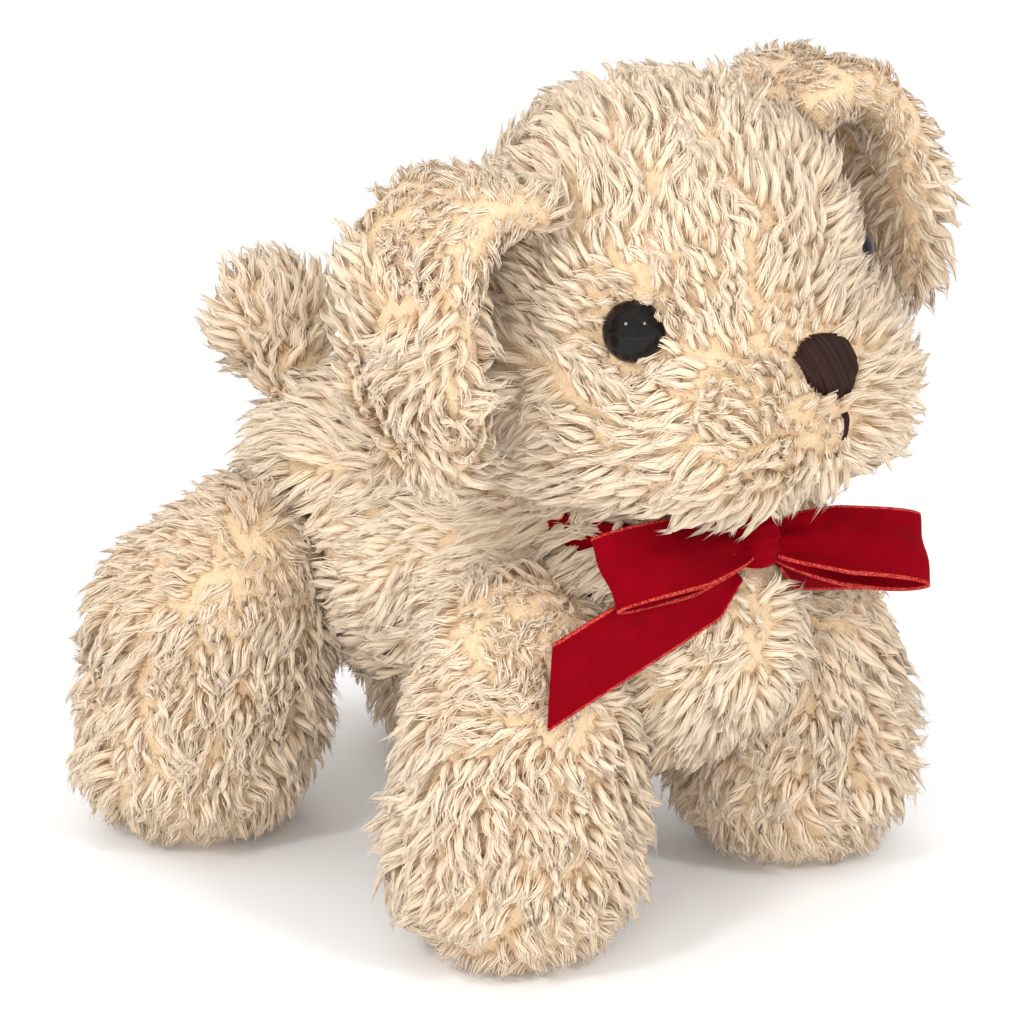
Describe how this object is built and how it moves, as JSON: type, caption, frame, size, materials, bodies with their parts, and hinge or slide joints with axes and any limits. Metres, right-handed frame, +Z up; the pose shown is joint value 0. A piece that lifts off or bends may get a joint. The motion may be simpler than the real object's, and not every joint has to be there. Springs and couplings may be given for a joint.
{
  "type": "plush dog",
  "caption": "Standing plush puppy toy with drop ears, a stub tail, domed eyes, a stitched nose and a velvet ribbon bow at the neck.",
  "frame": {"origin": "on the ground, at the centre of the whole puppy's outline seen from above", "axes": "+Z up, the puppy faces -Y, and its own left side is +X"},
  "size_m": [0.1338, 0.1734, 0.1664],
  "materials": {
    "cream_pile": "combed long pile",
    "curly_pile": "clumped curly pile",
    "lining_pile": "short pile",
    "sole": "short brushed cloth",
    "filling": "loose fibre",
    "ribbon": "velvet with stitched edges",
    "eye": "polished",
    "washer": "moulded",
    "thread": "satin stitch"
  },
  "bodies": {
    "torso": {"torso_right_panel": "cream_pile", "torso_left_panel": "cream_pile", "belly_gusset": "cream_pile", "torso_filling": "filling", "neck_ribbon": "ribbon", "bow_knot": "ribbon", "bow_loop_right": "ribbon", "bow_loop_left": "ribbon", "bow_tail_right": "ribbon", "bow_tail_left": "ribbon"},
    "neck": {"neck_filling": "filling"},
    "head": {"head_right_panel": "cream_pile", "head_left_panel": "cream_pile", "head_gusset": "cream_pile", "muzzle_panel": "cream_pile", "head_filling": "filling", "eye_right": "eye", "eye_left": "eye", "eye_washer_right": "washer", "eye_washer_left": "washer", "nose_embroidery": "thread", "mouth_stitch": "thread"},
    "ear_right": {"ear_right_outer": "curly_pile", "ear_right_lining": "lining_pile"},
    "ear_left": {"ear_left_outer": "curly_pile", "ear_left_lining": "lining_pile"},
    "tail": {"tail_cover": "curly_pile", "tail_filling": "filling"},
    "leg_front_right": {"leg_front_right_cover": "curly_pile", "leg_front_right_sole": "sole", "leg_front_right_filling": "filling"},
    "leg_front_left": {"leg_front_left_cover": "curly_pile", "leg_front_left_sole": "sole", "leg_front_left_filling": "filling"},
    "leg_rear_right": {"leg_rear_right_cover": "curly_pile", "leg_rear_right_sole": "sole", "leg_rear_right_filling": "filling"},
    "leg_rear_left": {"leg_rear_left_cover": "curly_pile", "leg_rear_left_sole": "sole", "leg_rear_left_filling": "filling"}
  },
  "joints": [
    {"name": "head_turn", "type": "hinge", "parent": "torso", "child": "neck", "pos_m": [0, -0.0355, 0.088], "axis": [0, 0, 1], "range_deg": [-25, 25], "stiffness_Nm_per_rad": 0.3},
    {"name": "head_nod", "type": "hinge", "parent": "neck", "child": "head", "pos_m": [0, -0.0355, 0.088], "axis": [1, 0, 0], "range_deg": [-12, 2], "stiffness_Nm_per_rad": 0.4},
    {"name": "ear_right_lift", "type": "hinge", "parent": "head", "child": "ear_right", "pos_m": [-0.03665, -0.03208, 0.14811], "axis": [0.0523, 0.9986, 0], "range_deg": [-12, 60], "stiffness_Nm_per_rad": 0.03},
    {"name": "ear_left_lift", "type": "hinge", "parent": "head", "child": "ear_left", "pos_m": [0.03084, -0.03561, 0.15557], "axis": [-0.0523, -0.9986, 0], "range_deg": [-12, 60], "stiffness_Nm_per_rad": 0.03},
    {"name": "tail_wag", "type": "hinge", "parent": "torso", "child": "tail", "pos_m": [0, 0.06509, 0.0838], "axis": [0, -0.809, 0.5878], "range_deg": [-25, 25], "stiffness_Nm_per_rad": 0.01},
    {"name": "leg_front_right_swing", "type": "hinge", "parent": "torso", "child": "leg_front_right", "pos_m": [-0.036, -0.0355, 0.057], "axis": [1, 0, 0], "range_deg": [-12, 12], "stiffness_Nm_per_rad": 0.15},
    {"name": "leg_front_left_swing", "type": "hinge", "parent": "torso", "child": "leg_front_left", "pos_m": [0.036, -0.0355, 0.057], "axis": [1, 0, 0], "range_deg": [-12, 12], "stiffness_Nm_per_rad": 0.15},
    {"name": "leg_rear_right_swing", "type": "hinge", "parent": "torso", "child": "leg_rear_right", "pos_m": [-0.032, 0.0485, 0.057], "axis": [1, 0, 0], "range_deg": [-12, 12], "stiffness_Nm_per_rad": 0.15},
    {"name": "leg_rear_left_swing", "type": "hinge", "parent": "torso", "child": "leg_rear_left", "pos_m": [0.032, 0.0485, 0.057], "axis": [1, 0, 0], "range_deg": [-12, 12], "stiffness_Nm_per_rad": 0.15}
  ]
}
